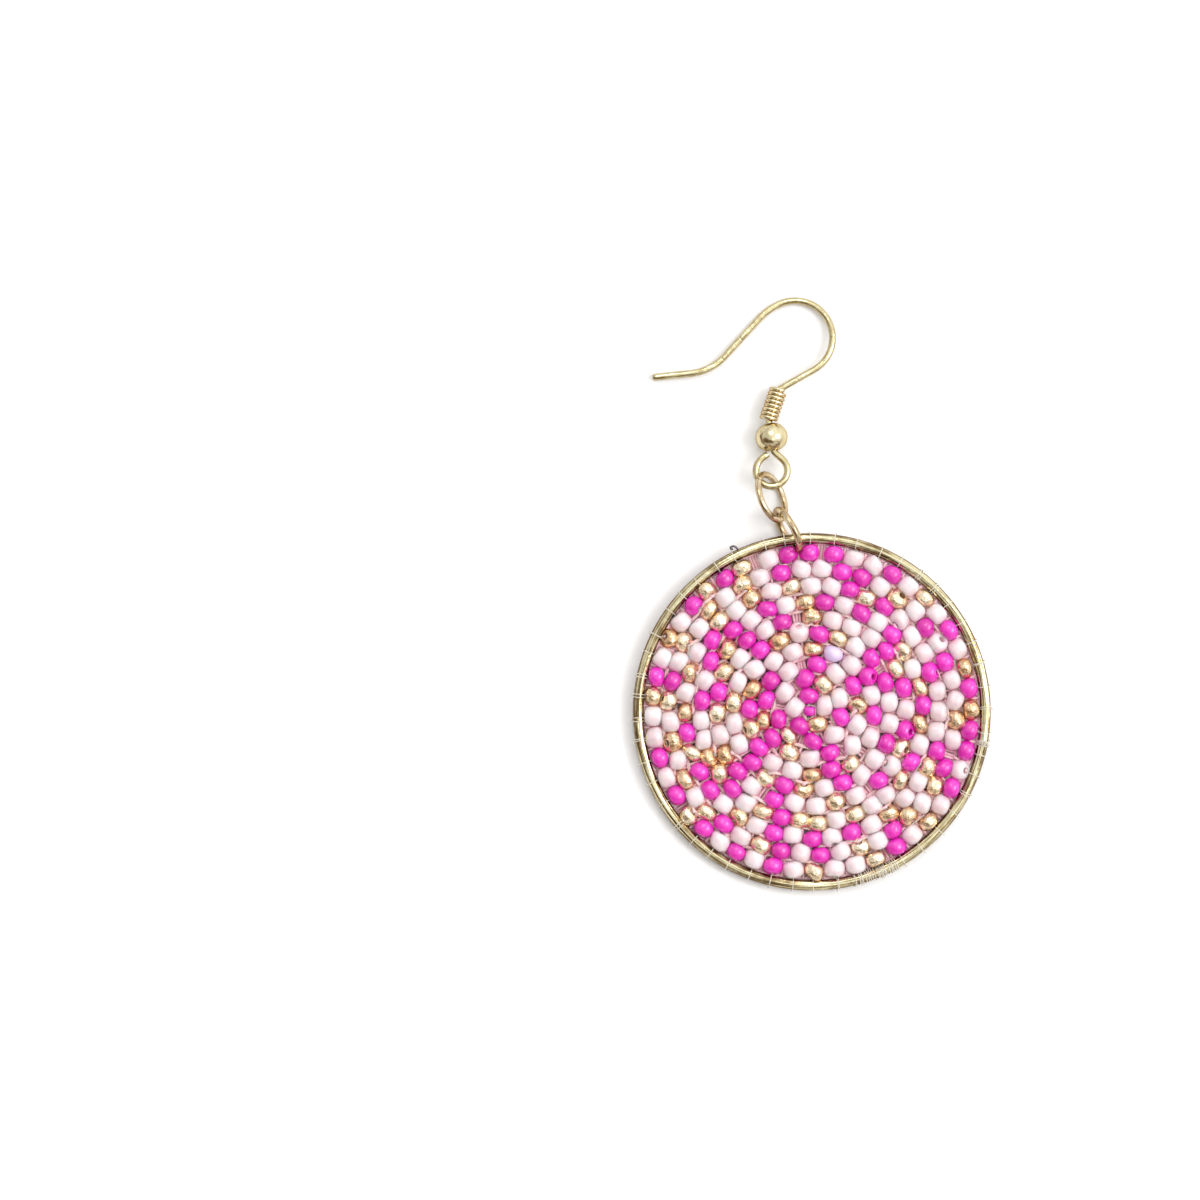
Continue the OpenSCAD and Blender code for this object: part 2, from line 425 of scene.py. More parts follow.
# Ear wire, coil and ball

WIRE_R = 0.34
BALL_AT = Vector((-4.03, 15.65, 1.63))
BALL_TURN = 100
WIRE_LEAN = 6.36
WIRE_LEAN_AXIS = 28
# Steps of the bent wire from the ball, as in the CAD source: bend radius, turn in degrees, straight length
TO_COIL = [(0, 0, 1.47), (1.5, -29.1, 0)]
TO_TIP = [
    (0, 0, 2.5), (0.6, -41.4, 0), (0, 0, 3.81), (3.75, 171.9, 0), (5.95, 26.4, 0), (0, 0, 5.12),
    (5.29, -42.3, 0), (0, 0, 3.82)]
TO_LOOP_END = [(0, 0, 1.3), (0.7, 39.4, 0), (0, 0, 0.75), (1.575, -281.5, 0), (0, 0, 0.75)]
BEND_STEP = 4
STRAIGHT_STEP = 0.4
# The ball's material gets its places scaled by this, which makes its draw lines coarser
BALL_LINES_SCALE = 0.4
# Where the pliers nicked the hook, seen from above
NICKS = ((-7.08, 25.68), (-8.78, 23.48), (2.12, 25.68), (-1.28, 21.38))
NICK_DEPTH = 0.04
NICK_SPREAD = 0.045

turn_to_lean = Matrix.Rotation(math.radians(WIRE_LEAN_AXIS), 4, "Z")
wire_frame = (Matrix.Translation(BALL_AT) @ turn_to_lean
              @ Matrix.Rotation(math.radians(-WIRE_LEAN), 4, "X") @ turn_to_lean.inverted())


def bent_path(start, steps):
    """Points (x, y) and heading in degrees along the steps of a bent wire."""
    x, y, heading = start
    places = [(x, y, heading)]
    for bend_r, turn, length in steps:
        count = max(1, math.ceil(abs(turn) / BEND_STEP if bend_r else length / STRAIGHT_STEP))
        for _ in range(count):
            if bend_r:
                side = math.copysign(bend_r, turn)
                after = heading + turn / count
                x += side * (math.sin(math.radians(after)) - math.sin(math.radians(heading)))
                y -= side * (math.cos(math.radians(after)) - math.cos(math.radians(heading)))
                heading = after
            else:
                x += length / count * math.cos(math.radians(heading))
                y += length / count * math.sin(math.radians(heading))
            places.append((x, y, heading))
    return places


def nicked(path):
    """The path with more points at each nick, and the radius of the wire at each point."""
    length = np.concatenate([[0], np.cumsum(np.linalg.norm(np.diff(path, axis=0), axis=1))])
    nicks = [length[np.argmin(np.linalg.norm(path[:, :2] - nick, axis=1))] for nick in NICKS]
    close = NICK_SPREAD * np.linspace(-3, 3, 9)
    clear = [at for at in length if min(abs(at - nick) for nick in nicks) > 3.5 * NICK_SPREAD]
    finer = np.sort(np.concatenate([clear] + [nick + close for nick in nicks]))
    points = np.stack([np.interp(finer, length, path[:, axis]) for axis in range(3)], axis=1)
    depth = sum(np.exp(-((finer - nick) / NICK_SPREAD) ** 2) for nick in nicks)
    return points, WIRE_R - NICK_DEPTH * depth


def build_ear_wire():
    """The whole bent wire, from the cut end of its loop through coil and ball to the tip of the tail."""
    down = bent_path((0, 0, BALL_TURN - 180), TO_LOOP_END)
    up = bent_path((0, 0, BALL_TURN), TO_COIL + TO_TIP)
    path = [(x, y, 0) for x, y, _ in down[::-1] + up[1:]]
    points, radius = nicked(placed(wire_frame, path))
    mesh = Mesh()
    mesh.add(*sweep(points, radius, 24, up=wire_frame.to_3x3() @ Vector((0, 0, 1)), blunt=0.07))
    mesh.build("bent_ear_wire", wire_gold, "gold_metal", ["ear_wire"])


def build_coil():
    """The coil, whose painted shade darkens it towards the sides of the whole coil rather than of its thin
    wire.
    """
    wire_r = 0.208
    coil_r = 0.722
    pitch = 0.424
    start = -0.41
    turns = 2660 / 360
    x, y, heading = bent_path((0, 0, BALL_TURN), TO_COIL)[-1]
    coil_frame = wire_frame @ Matrix.Translation((x, y, 0)) @ Matrix.Rotation(math.radians(heading), 4, "Z")
    turn = np.linspace(0, turns * 2 * math.pi, round(turns * 36))
    path = np.stack([
        start + pitch * turn / (2 * math.pi),
        coil_r * np.cos(turn),
        coil_r * np.sin(turn)], axis=1)
    points, faces, along = sweep(placed(coil_frame, path), wire_r, 16, blunt=0.05)
    along[:, 1] = placed(coil_frame.inverted(), points)[:, 1] / (coil_r + wire_r)
    mesh = Mesh()
    mesh.add(points, faces, along)
    mesh.build("wound_coil", coil_gold, "gold_metal", ["wire_coil"])


def mirrored(profile):
    """The mirror image of a profile's places, in reverse order."""
    return [(-along, out) for along, out in profile[::-1]]


def lathe(profile, segments):
    """Points and faces of a closed profile of (along X, out from X) turned about the X axis."""
    profile = np.asarray(profile)
    turn = np.arange(segments) * 2 * math.pi / segments
    x = np.repeat(profile[:, 0], segments)
    points = np.stack([
        x,
        np.outer(profile[:, 1], np.cos(turn)).ravel(),
        np.outer(profile[:, 1], np.sin(turn)).ravel()], axis=1)
    return points, grid_faces(len(profile), segments, close_rows=True)


def build_ball():
    """The drilled ball. Its own places stand in for wire coordinates, so draw lines run along its hole."""
    radius = 1.4
    offset = 0.23
    hole_r = 0.43
    rim = 0.06
    reach = math.acos((hole_r + rim - offset) / radius)
    turn = np.linspace(-reach, reach, 44)
    profile = [(radius * math.sin(a), offset + radius * math.cos(a)) for a in turn]
    edge = radius * math.sin(reach)
    rounded_rim = [(edge - 0.004, hole_r + rim * 0.4), (edge - 0.03, hole_r + 0.01), (edge - 0.08, hole_r)]
    profile += rounded_rim + [(0, hole_r)] + mirrored(rounded_rim)
    points, faces = lathe(profile, 72)
    ball_frame = wire_frame @ Matrix.Rotation(math.radians(BALL_TURN), 4, "Z")
    mesh = Mesh()
    mesh.add(placed(ball_frame, points), faces, along=points * BALL_LINES_SCALE)
    mesh.build("round_ball", ball_gold, "gold_metal", ["ball_bead"])


# Jump rings and hoop

# The two cut rings, as in the CAD source
JUMP_RING = {
    "at": (-4.053, 9.637, 2.437),
    "turn": -68.5,
    "lean": -61.44,
    "outer_r": 2.725,
    "wire_r": 0.325,
    "cut_at": 215,
}
HOOP_LINK = {
    "at": (-2.414, 6.402, 2.514),
    "turn": -61.4,
    "lean": 77.73,
    "outer_r": 2.56,
    "wire_r": 0.36,
    "cut_at": 140,
}
RING_CUT = 0.06
HOOP_STEPS = 480
# Where the thread is knotted round the hoop, in degrees about its middle
KNOT_AT = 349.8


def build_cut_ring(name, node, at, turn, lean, outer_r, wire_r, cut_at):
    """A ring of wire with a fine cut. turn is the way that its level diameter points."""
    middle_r = outer_r - wire_r
    cut = RING_CUT / middle_r
    start = math.radians(cut_at)
    angles = np.linspace(start, start + 2 * math.pi - cut, 160)
    path = np.stack([middle_r * np.cos(angles), middle_r * np.sin(angles), 0 * angles], axis=1)
    ring_frame = (Matrix.Translation(Vector(at)) @ Matrix.Rotation(math.radians(turn), 4, "Z")
                  @ Matrix.Rotation(math.radians(lean), 4, "X"))
    up = ring_frame.to_3x3() @ Vector((0, 0, 1))
    mesh = Mesh()
    mesh.add(*sweep(placed(ring_frame, path), wire_r, 24, up=up, blunt=0.04))
    mesh.build(name, ring_gold, "gold_metal", [node])


def build_hoop():
    """The hoop, whose draw lines start and end under the thread's knot."""
    angles = math.radians(KNOT_AT) + np.arange(HOOP_STEPS) * 2 * math.pi / HOOP_STEPS
    path = np.stack([hoop_r * np.cos(angles), hoop_r * np.sin(angles), 0 * angles], axis=1)
    mesh = Mesh()
    mesh.add(*sweep(placed(hoop_frame, path), HOOP_WIRE_R, 28, closed=True))
    mesh.build("round_hoop", hoop_gold, "gold_metal", ["hoop"])


# Seed beads

# How many beads each ring has, from the inside out, and where the rings are
BEADS_IN_RING = (5, 9, 14, 18, 24, 28, 36, 40, 44, 48)
RINGS = len(BEADS_IN_RING)
RING_PITCH = 1.575
FIRST_RING_R = 1.65
# The two outermost beads beside the hoop link, as angles about the middle of the hoop
LINK_GAP_FROM = 90.4
LINK_GAP_TO = 100.4
COLOURS = ("magenta", "pink", "gold")
# How often each of these colours follows a colour in its ring
NEXT = {"magenta": (0.05, 0.65, 0.30), "pink": (0.42, 0.20, 0.38), "gold": (0.45, 0.50, 0.05)}
# Half the length along the hole, outer radius, and how square the rim is, for each colour
BEAD_SIZES = {
    "magenta": ((0.82, 0.90), (0.98, 1.05), 2.3),
    "pink": ((0.86, 0.94), (1.02, 1.08), 2.9),
    "gold": ((0.70, 0.88), (1.00, 1.09), 2.6),
}
# How much of each colour lies tipped, so that its hole shows, and how lumpy its wall is
TIPPED = {"magenta": 0.06, "pink": 0.05, "gold": 0.35}
LUMPS = {"magenta": 0.010, "pink": 0.012, "gold": 0.035}
HOLE_R = 0.34
# How unevenly the beads lie, as spreads in degrees. The rings near the middle are looser.
LOOSE_RINGS = 3
LOOSE_SPREAD = 22
HEADING_SPREAD = 11
DIP_SPREAD = 6
TIPPED_DIPS = (25, 48)
# How unevenly they are made, and how far their levels differ, as spreads
SHAPE_SPREAD = 0.07
LIFT_SPREAD = 0.03
# How far beads stay above the table, how far apart settled beads are, how far they stay from the hoop, and
# up to which distance two of them can touch
TABLE_GAP = 0.004
BEAD_GAP = 0.015
HOOP_GAP = 0.05
WIDEST_PAIR = 2.3
# How much of its way home a bead goes in each round of settling
HOMING = 0.05
# The small bead in the middle, and the one odd bead that is lavender
MIDDLE_BEAD_SIZE = 0.68
MIDDLE_BEAD_AT = 0.16
ODD_BEAD_RING = 4
ODD_BEAD_AT = 73.5

dice = random.Random(20081)


class Bead:
    """One bead: its place on the hoop's plane, how its hole points, its size and its colour."""

    def __init__(self, ring, radius, angle, colour, size=1.0):
        lengths, radii, self.squareness = BEAD_SIZES[colour]
        self.ring = ring
        self.colour = colour
        self.half_length = dice.uniform(*lengths) * size
        self.outer_r = dice.uniform(*radii) * size
        self.home = np.array([radius * math.cos(angle), radius * math.sin(angle)])
        self.at = self.home.copy()
        spread = LOOSE_SPREAD if ring <= LOOSE_RINGS else HEADING_SPREAD
        self.heading = angle + math.radians(dice.gauss(0, spread))
        self.dip = math.radians(dice.gauss(0, DIP_SPREAD))
        if dice.random() < TIPPED[colour]:
            self.dip = math.radians(dice.choice((-1, 1)) * dice.uniform(*TIPPED_DIPS))
        self.lump = LUMPS[colour]
        self.lump_turns = dice.uniform(0, 6.3), dice.uniform(0, 6.3)
        self.tone = dice.random()
        self.wedge = dice.gauss(0, SHAPE_SPREAD)
        self.slant = dice.gauss(0, SHAPE_SPREAD)
        self.lift = dice.gauss(0, LIFT_SPREAD)

    def reach(self, direction):
        """How far the bead's outline reaches in a direction on the plane."""
        turned = math.atan2(direction[1], direction[0]) - self.heading
        long_part = abs(math.cos(turned)) / self.half_length
        wide_part = abs(math.sin(turned)) / self.outer_r
        return (long_part ** self.squareness + wide_part ** self.squareness) ** (-1 / self.squareness)


def lay_out_beads():
    """The beads in wavy rings, in which the chance of each colour depends on the bead before it.

    The two beads beside the link are magenta.
    """
    beads = [Bead(0, MIDDLE_BEAD_AT, math.pi / 2, "magenta", MIDDLE_BEAD_SIZE)]
    for ring in range(1, RINGS + 1):
        radius = FIRST_RING_R + RING_PITCH * (ring - 1)
        count = BEADS_IN_RING[ring - 1]
        if ring == RINGS:
            angles = np.radians(np.linspace(LINK_GAP_TO, LINK_GAP_FROM + 360, count))
        else:
            angles = dice.uniform(0, 2 * math.pi) + np.arange(count) * 2 * math.pi / count
        colour = dice.choice(COLOURS)
        wave = [(dice.uniform(0.02, 0.06), dice.randint(2, 5), dice.uniform(0, 6.3)) for _ in range(3)]
        for i, angle in enumerate(angles):
            at_link = ring == RINGS and i in (0, count - 1)
            colour = "magenta" if at_link else dice.choices(COLOURS, NEXT[colour])[0]
            sway = 0
            if ring < RINGS:
                sway = sum(size * math.sin(turns * angle + start) for size, turns, start in wave)
            jitter = dice.gauss(0, 0.045)
            shift = dice.gauss(0, 0.05 if at_link else 0.08)
            beads.append(Bead(ring, radius + sway + jitter, angle + shift / radius, colour))
    odd_way = (math.cos(math.radians(ODD_BEAD_AT)), math.sin(math.radians(ODD_BEAD_AT)))
    odd = max((bead for bead in beads if bead.ring == ODD_BEAD_RING), key=lambda bead: bead.home @ odd_way)
    odd.colour = "lavender"
    return beads


def settle(beads, rounds=60):
    """Pushes beads that would touch apart, and keeps them near their places in the rings."""
    rim = hoop_r - HOOP_WIRE_R - HOOP_GAP
    for _ in range(rounds):
        places = np.array([bead.at for bead in beads])
        gaps = np.linalg.norm(places[:, None] - places[None, :], axis=2)
        close = np.argwhere(np.triu((gaps < WIDEST_PAIR) & (gaps > 0), 1))
        for i, j in close:
            a, b = beads[i], beads[j]
            apart = b.at - a.at
            distance = np.linalg.norm(apart)
            direction = apart / distance
            overlap = a.reach(direction) + b.reach(-direction) + BEAD_GAP - distance
            if overlap > 0:
                a.at = a.at - direction * overlap * 0.5
                b.at = b.at + direction * overlap * 0.5
        for bead in beads:
            bead.at = bead.at + (bead.home - bead.at) * HOMING
            out = np.linalg.norm(bead.at)
            most = rim - bead.reach(bead.at / out)
            if out > most:
                bead.at = bead.at * most / out


def bead_frame(bead):
    """Where a bead is, with +X along its hole."""
    local = (Matrix.Translation((*bead.at, bead.lift))
             @ Matrix.Rotation(bead.heading, 4, "Z") @ Matrix.Rotation(bead.dip, 4, "Y"))
    return hoop_frame @ local


def bead_profile(bead):
    """A closed outline of the bead's wall: an oval or squarish outside, a rounded rim and the hole."""
    rim = 0.05
    power = 2 / bead.squareness
    half_length = bead.half_length
    widest = math.acos(((HOLE_R + rim) / bead.outer_r) ** (1 / power))
    points = []
    for a in np.linspace(-widest, widest, 17):
        along = math.copysign(abs(math.sin(a)) ** power, a) * half_length
        points.append((along, bead.outer_r * math.cos(a) ** power))
    end = points[-1][0]
    rounded_rim = [(end - 0.01, HOLE_R + 0.3 * rim), (end - rim, HOLE_R), (0.5 * end, HOLE_R)]
    return points + rounded_rim + mirrored(rounded_rim)


def bead_mesh(bead):
    """Points, faces and, in place of wire coordinates, each point's height above the bead's middle.

    The height is a share of the bead's radius.
    """
    points, faces = lathe(bead_profile(bead), 28)
    turn = np.arctan2(points[:, 2], points[:, 1])
    two, three = bead.lump_turns
    points[:, 1:] *= (1 + bead.lump * (np.cos(2 * turn + two) + 0.6 * np.cos(3 * turn + three)))[:, None]
    lean = 1 + bead.wedge * points[:, 1] / bead.outer_r
    points[:, 0] = points[:, 0] * lean + bead.slant * points[:, 1]
    points = placed(bead_frame(bead), points)
    lowest = points[:, 2].min()
    if lowest < TABLE_GAP:
        points[:, 2] += TABLE_GAP - lowest
    # The height places the painted side glow and dimmer top of the glass bead materials.
    height = (points[:, 2] - points[:, 2].mean()) / bead.outer_r
    return points, faces, np.stack([0 * height, 0 * height, height], axis=1)


def build_beads():
    """The seed beads as one piece for each colour, which stand for the CAD beadwork together."""
    beads = lay_out_beads()
    settle(beads)
    meshes = {colour: Mesh() for colour in (*COLOURS, "lavender")}
    for bead in beads:
        points, faces, height = bead_mesh(bead)
        meshes[bead.colour].add(points, faces, along=height, tone=bead.tone)
    meshes["pink"].build("pink_seed_beads", pink, "pink_beads", ["beadwork"])
    meshes["magenta"].build("magenta_seed_beads", magenta, "magenta_beads")
    meshes["gold"].build("gold_seed_beads", gold_glass, "gold_beads")
    meshes["lavender"].build("lavender_seed_bead", lavender, "pink_beads")
    return beads


# Thread

THREAD_R = 0.05
NETTING_R = 0.2
# The levels between which the clear thread lies halfway from bead to bead
CLEAR_BRIDGE = (0.0, 0.4)
# The netting under the beads, thick and coloured with painted pink light for the gaps: the levels between
# which its passes lie halfway, and how far below the holes they come out
NETTING = ((-0.30, -0.10, 0.25), (-0.60, -0.40, 0.50))
NETTING_AT_HOOP = (-0.65, -0.45, 0.50)
# A pass in the groove between two beads: the levels between which it lies, and how far out and how much
# lower each of its knots is
GROOVE_LEVELS = (-0.25, -0.1)
GROOVE_PASS = ((0.95, 0.2), (0.45, 0.1), (-0.45, 0.1), (-0.95, 0.2))
# No thread goes straight from bead to bead over more than this
LONGEST_BRIDGE = 4.2
# How far inside the hole a strand of thread starts
INSIDE = 0.4
# No bridge from bead to bead goes below this level, so that none shows under the beads
LOWEST_BRIDGE = -0.7
# Beads farther apart than this have a wide groove between them, with lower passes side by side in it, whose
# painted pink covers the shaded floor
WIDE_BRIDGE = 2.3
WIDE_GROOVE = (-0.32, 0.0, 0.32)
WIDE_DROP = 0.3
GROOVE_THREAD_R = 0.8 * NETTING_R
# Beads that dip more than this, in radians, show no loop of thread in the hole
TIPPED_FROM = 0.3
WRAP_GAP = 0.012
# How often an outermost bead has a second turn of thread round the hoop
SECOND_WRAP = 0.12
# Where the hoop's joint is bound, in degrees about its middle
JOINT_FROM = 284
JOINT_TO = 299
JOINT_WRAPS = 20
# Each turn of thread at the knot: how far round from it, in radians, and its skew
KNOT_WRAPS = ((-0.012, 0.3), (-0.005, -0.25), (0.004, 0.1), (0.012, -0.35))
SINGED_R = 0.11
# The singed end past the hoop: how far out from the middle of its wire, where round it and at what level
SINGED_END = (
    (0.45, 114.5, 0.2), (0.8, 114.8, 0.3), (1.01, 115.5, 0.3), (0.98, 116.4, 0.28), (0.79, 116.35, 0.24),
    (0.77, 115.8, 0.25))


def polar(radius, angle, z=0.0):
    return np.array([radius * math.cos(angle), radius * math.sin(angle), z])


def hoop_wrap(angle, skew, nub):
    """Places of a turn of thread round the hoop. It has a small kink, nub high, at the outer side."""
    side = np.array([-math.sin(angle), math.cos(angle), 0])
    points = []
    for a in np.radians(np.arange(0, 360, 12)):
        reach = HOOP_WIRE_R + THREAD_R + WRAP_GAP + nub * max(0, math.cos(a)) ** 14
        turned = polar(hoop_r + reach * math.cos(a), angle, reach * math.sin(a))
        points.append(turned + side * skew * math.sin(a))
    return points


def add_strand(mesh, knots, radius=THREAD_R):
    """A strand through places in the hoop's frame."""
    path = smooth_curve(placed(hoop_frame, knots), 4)
    mesh.add(*sweep(path, radius, 6))


def add_wrap(mesh, angle, skew=None, nub=None):
    """A turn of thread round the hoop, whose skew and kink are drawn where none is given."""
    skew = dice.gauss(0, 0.07) if skew is None else skew
    nub = dice.uniform(0.04, 0.22) if nub is None else nub
    ring = placed(hoop_frame, hoop_wrap(angle, skew, nub))
    mesh.add(*sweep(ring, THREAD_R, 8, closed=True), tone=dice.random())


def hole_end(bead, way, inset=0.0):
    """The middle of the bead's hole at its outer end (way 1) or inner end (way -1), on the hoop's plane."""
    reach = (bead.half_length - inset) * way
    level = bead.lift - reach * math.sin(bead.dip)
    flat = reach * math.cos(bead.dip)
    return np.array([
        bead.at[0] + flat * math.cos(bead.heading), bead.at[1] + flat * math.sin(bead.heading), level])


def bridge_between(mesh, a, b, radius, lowest, highest, sunk=0.0, way=-1):
    """A pass of thread from one bead's inner end (way -1) into its neighbour's. Returns its middle.

    The middle lies between the levels lowest and highest, and sunk is how far below the middle of the
    hole the thread comes out.
    """
    below = np.array([0, 0, -sunk])
    start = hole_end(a, way) + below
    end = hole_end(b, way) + below
    halfway = (start + end) / 2
    outward = halfway / np.linalg.norm(halfway[:2]) * (1, 1, 0)
    bow = outward * way * dice.uniform(-0.06, 0.2)
    middle = halfway + bow + (0, 0, dice.uniform(lowest, highest) + sunk)
    spread = np.array([0, 0, dice.uniform(-0.18, 0.18)])
    inside = hole_end(a, way, INSIDE) + below, hole_end(b, way, INSIDE) + below
    knots = np.array([inside[0], start + spread, middle, end + spread, inside[1]])
    knots[:, 2] = np.maximum(knots[:, 2], LOWEST_BRIDGE)
    add_strand(mesh, knots, radius)
    return middle


def pass_between(mesh, a, b):
    """The netting in the groove between two beads side by side, which lies lower and three abreast where the
    groove is wide, so that its painted pink light covers the shaded floor.
    """
    halfway = (a.at + b.at) / 2
    outward = halfway / np.linalg.norm(halfway)
    across = np.array([-outward[1], outward[0]])
    wide = np.linalg.norm(a.at - b.at) > WIDE_BRIDGE
    for offset in WIDE_GROOVE if wide else (0.0,):
        level = dice.uniform(*GROOVE_LEVELS) - (WIDE_DROP if wide else 0.0)
        knots = []
        for out, drop in GROOVE_PASS:
            place = halfway + outward * out + across * (offset + dice.uniform(-0.05, 0.05))
            knots.append(np.array([*place, level - drop]))
        add_strand(mesh, knots, GROOVE_THREAD_R)


def hook_round(mesh, bead, middle):
    """The small loop from a bead's outer end round the bridge of the ring outside it."""
    half_width = 0.1
    start = hole_end(bead, 1)
    inside = hole_end(bead, 1, INSIDE)
    across = np.array([-math.sin(bead.heading), math.cos(bead.heading), 0]) * half_width
    over = middle + np.array([0, 0, 0.06])
    add_strand(mesh, [inside + across * 0.5, start + across, over, start - across, inside - across * 0.5])


def add_knot(mesh, angle):
    """A small overhand knot on top of the hoop, drawn as a trefoil."""
    knot_r = 0.09
    half_height = 0.1
    centre = polar(hoop_r + 0.1, angle, HOOP_WIRE_R + 0.1)
    side = np.array([-math.sin(angle), math.cos(angle), 0])
    out = polar(1.0, angle)
    up = np.array([0, 0, 1.0])
    path = []
    for t in np.linspace(0, 2 * math.pi, 40, endpoint=False):
        radius = knot_r * (2 + math.cos(3 * t))
        path.append(centre + out * radius * math.cos(2 * t) + side * radius * math.sin(2 * t)
                    + up * half_height * math.sin(3 * t))
    mesh.add(*sweep(placed(hoop_frame, path), THREAD_R, 8, closed=True))


def beads_by_ring(beads):
    """The beads of each ring, in order round the middle."""
    rings = {}
    for bead in beads:
        rings.setdefault(bead.ring, []).append(bead)
    for ring in rings.values():
        ring.sort(key=lambda bead: math.atan2(bead.at[1], bead.at[0]))
    return rings


def add_ring_thread(clear, netting, ring, inner_ring, at_hoop):
    """The thread between the beads of a ring, and the loops that hold the beads of the ring inside it."""
    neighbours = [
        (a, b) for a, b in zip(ring, ring[1:] + ring[:1]) if np.linalg.norm(a.at - b.at) < LONGEST_BRIDGE]
    bridges = [bridge_between(clear, a, b, THREAD_R, *CLEAR_BRIDGE) for a, b in neighbours]
    for a, b in neighbours:
        for levels in NETTING:
            bridge_between(netting, a, b, NETTING_R, *levels)
        pass_between(netting, a, b)
        if at_hoop:
            bridge_between(netting, a, b, NETTING_R, *NETTING_AT_HOOP, way=1)
    for bead in inner_ring:
        if abs(bead.dip) > TIPPED_FROM:
            continue
        nearest = min(bridges, key=lambda place: np.linalg.norm(place[:2] - bead.at))
        hook_round(clear, bead, nearest)


def tie_to_hoop(mesh, bead):
    """Two strands from an outermost bead to the hoop, and the turn or two of thread that hold it there."""
    angle = math.atan2(bead.at[1], bead.at[0]) + dice.gauss(0, 0.006)
    add_wrap(mesh, angle)
    inner = hoop_r - HOOP_WIRE_R - THREAD_R - WRAP_GAP
    for level in (-0.25, 0.2):
        add_strand(mesh, [hole_end(bead, 1, 0.3), hole_end(bead, 1), polar(inner, angle, level)])
    if dice.random() < SECOND_WRAP:
        add_wrap(mesh, angle + dice.uniform(0.009, 0.016))


def build_thread(beads):
    """The clear thread on top and round the hoop, and the netting under the beads, whose pink colour is
    painted light.
    """
    clear = Mesh()
    netting = Mesh()
    rings = beads_by_ring(beads)
    for number in range(RINGS, 0, -1):
        add_ring_thread(clear, netting, rings[number], rings[number - 1], at_hoop=number == RINGS)
    for bead in rings[RINGS]:
        tie_to_hoop(clear, bead)
    for angle in np.radians(np.linspace(JOINT_FROM, JOINT_TO, JOINT_WRAPS)):
        add_wrap(clear, angle + dice.gauss(0, 0.001), skew=dice.gauss(0.1, 0.07), nub=dice.uniform(0, 0.08))
    for offset, skew in KNOT_WRAPS:
        add_wrap(clear, math.radians(KNOT_AT) + offset, skew=skew)
    add_knot(clear, math.radians(KNOT_AT))
    clear.build("nylon_thread", clear_thread, "thread")
    netting.build("netting_thread", netting_painted_pink_light, "thread")


def build_loop_end():
    """The thread's singed end, which curls out past the hoop."""
    mesh = Mesh()
    knots = [polar(hoop_r + out, math.radians(angle), level) for out, angle, level in SINGED_END]
    add_strand(mesh, knots, SINGED_R)
    mesh.build("singed_thread_end", singed_thread, "thread")


# Camera, floor and lights

# Parts of the tent that are brighter or darker than the rest: how far round from +X and how far from
# straight up the middle of each is, and how far from that it is full and gone. The last two numbers of a
# glow are how bright it is outside and inside.
GLOWS = ((40, 45, 25, 70, 0.84, 1.4), (305, 24, 4, 10, 0.0, 1.2))
SHADES = ((210, 54, 12, 26), (240, 46, 12, 24), (272, 44, 10, 22), (318, 63, 3, 9))
SHADE_LEVEL = 0.3


def build_camera():
    """Looks straight down on the middle of the photograph, which lies left of the earring that is built.

    The photograph is view_width wide at the middle level of the beadwork.
    """
    view_width = 120
    sensor_width = 36
    distance = 500
    level = 1.4
    middle = (-21.18, -0.62)
    camera = bpy.data.objects.new("camera", bpy.data.cameras.new("camera"))
    camera.data.sensor_width = sensor_width
    camera.data.lens = sensor_width * distance / view_width
    camera.location = (middle[0] * MM, middle[1] * MM, (distance + level) * MM)
    camera.data.clip_start = 0.01
    camera.data.clip_end = 20
    bpy.context.scene.collection.objects.link(camera)
    bpy.context.scene.camera = camera


def build_floor():
    """A floor that reaches three metres each way."""
    half = 3.0
    mesh = bpy.data.meshes.new("floor")
    corners = [(-half, -half, 0), (half, -half, 0), (half, half, 0), (-half, half, 0)]
    mesh.from_pydata(corners, [], [(0, 1, 2, 3)])
    mesh.materials.append(floor_material())
    floor = bpy.data.objects.new("floor", mesh)
    bpy.context.scene.collection.objects.link(floor)


def build_lamp(name, azimuth, zenith, size, energy):
    """A square softbox a metre away that faces the object."""
    light = bpy.data.lights.new(name, "AREA")
    light.shape = "SQUARE"
    light.size = size
    light.energy = energy
    lamp = bpy.data.objects.new(name, light)
    lamp.location = towards(azimuth, zenith)
    lamp.rotation_euler = (-lamp.location).to_track_quat("-Z", "Y").to_euler()
    bpy.context.scene.collection.objects.link(lamp)


def towards(azimuth, zenith):
    """A unit vector from its angle round from +X and its angle from straight up, in degrees."""
    turn = math.radians(azimuth)
    tilt = math.radians(zenith)
    return Vector((math.sin(tilt) * math.cos(turn), math.sin(tilt) * math.sin(turn), math.cos(tilt)))


def lobe(tree, way, azimuth, zenith, inner, outer, low, high):
    """high inside the inner angle about a direction and low outside the outer one, in degrees."""
    middle = towards(azimuth, zenith)
    near = add_node(tree, "ShaderNodeVectorMath", {0: way, 1: middle}, operation="DOT_PRODUCT")
    return add_node(tree, "ShaderNodeMapRange", {
        "Value": near.outputs["Value"],
        "From Min": math.cos(math.radians(outer)), "From Max": math.cos(math.radians(inner)),
        "To Min": low, "To Max": high}, interpolation_type="SMOOTHSTEP").outputs["Result"]


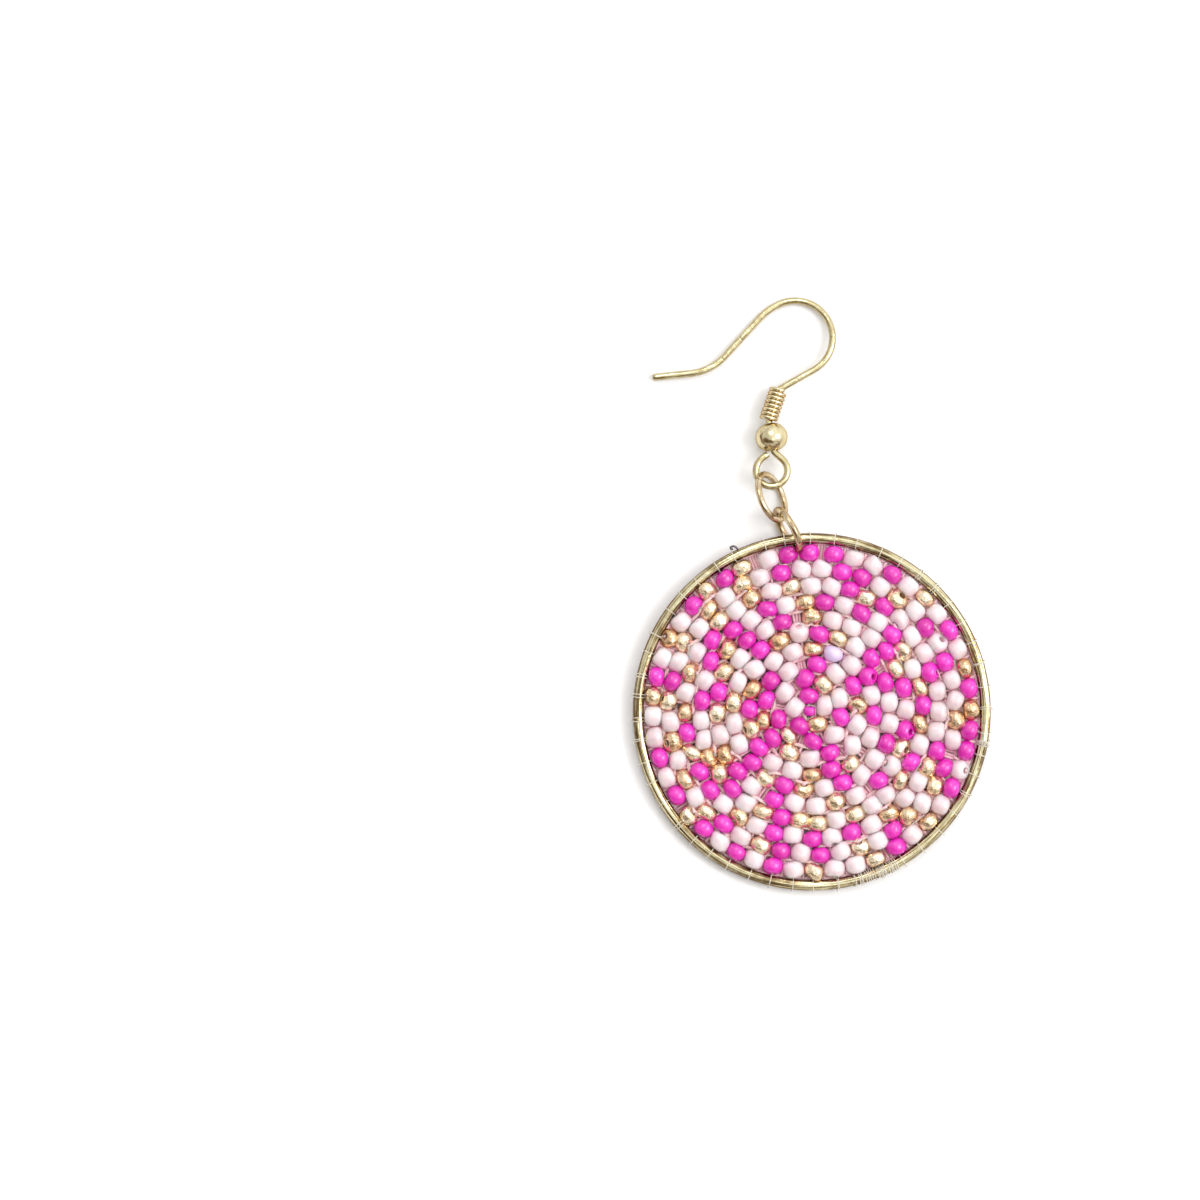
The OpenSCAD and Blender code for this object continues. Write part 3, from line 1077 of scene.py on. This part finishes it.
def skyline(tree, way):
    """A dim band low down at the near left, where the tent ends. It fades towards the far right."""
    level = add_node(tree, "ShaderNodeSeparateXYZ", {0: way}).outputs["Z"]
    far_right = towards(60, 90)
    far = add_node(tree, "ShaderNodeVectorMath", {0: way, 1: far_right}, operation="DOT_PRODUCT")
    dimmest = remap(tree, far.outputs["Value"], 0.15, 0.95, -0.5, 0.2)
    above = remap(tree, level, 0.0, 1.0, 0.12, 0.30)
    below = remap(tree, level, 1.0, 0.0, -0.02, 0.08)
    most = add_node(tree, "ShaderNodeMath", {0: above, 1: below}, operation="MAXIMUM").outputs[0]
    return remap(tree, most, dimmest, 1.0, 0.0, 1.0)


def combined(tree, values, operation):
    total = values[0]
    for value in values[1:]:
        total = add_node(tree, "ShaderNodeMath", {0: total, 1: value}, operation=operation).outputs[0]
    return total


def build_world():
    """A white tent, brighter at the far right, with the dark shape of the photographer at its near left."""
    world = bpy.data.worlds.new("studio")
    world.use_nodes = True
    tree = world.node_tree
    background = tree.nodes["Background"]
    way = add_node(tree, "ShaderNodeTexCoord").outputs["Generated"]
    glows = combined(tree, [lobe(tree, way, *glow) for glow in GLOWS], "ADD")
    shades = [lobe(tree, way, *shade, low=1.0, high=SHADE_LEVEL) for shade in SHADES]
    shades = combined(tree, [*shades, skyline(tree, way)], "MULTIPLY")
    warm = colour_ramp(tree, shades, [(0.2, (1.0, 0.68, 0.40)), (0.9, (1.0, 1.0, 1.0))])
    tree.links.new(warm, background.inputs["Color"])
    tree.links.new(combined(tree, [glows, shades], "MULTIPLY"), background.inputs["Strength"])
    bpy.context.scene.world = world


build_camera()
build_floor()
build_lamp("right_softbox", azimuth=4, zenith=40, size=0.5, energy=4.2)
build_lamp("far_softbox", azimuth=100, zenith=36, size=0.4, energy=1.7)
build_world()
build_ear_wire()
build_coil()
build_ball()
build_cut_ring("round_jump_ring", "jump_ring", **JUMP_RING)
build_cut_ring("round_hoop_link", "hoop_link", **HOOP_LINK)
build_hoop()
all_beads = build_beads()
build_thread(all_beads)
build_loop_end()

bpy.context.scene.view_settings.view_transform = "Standard"
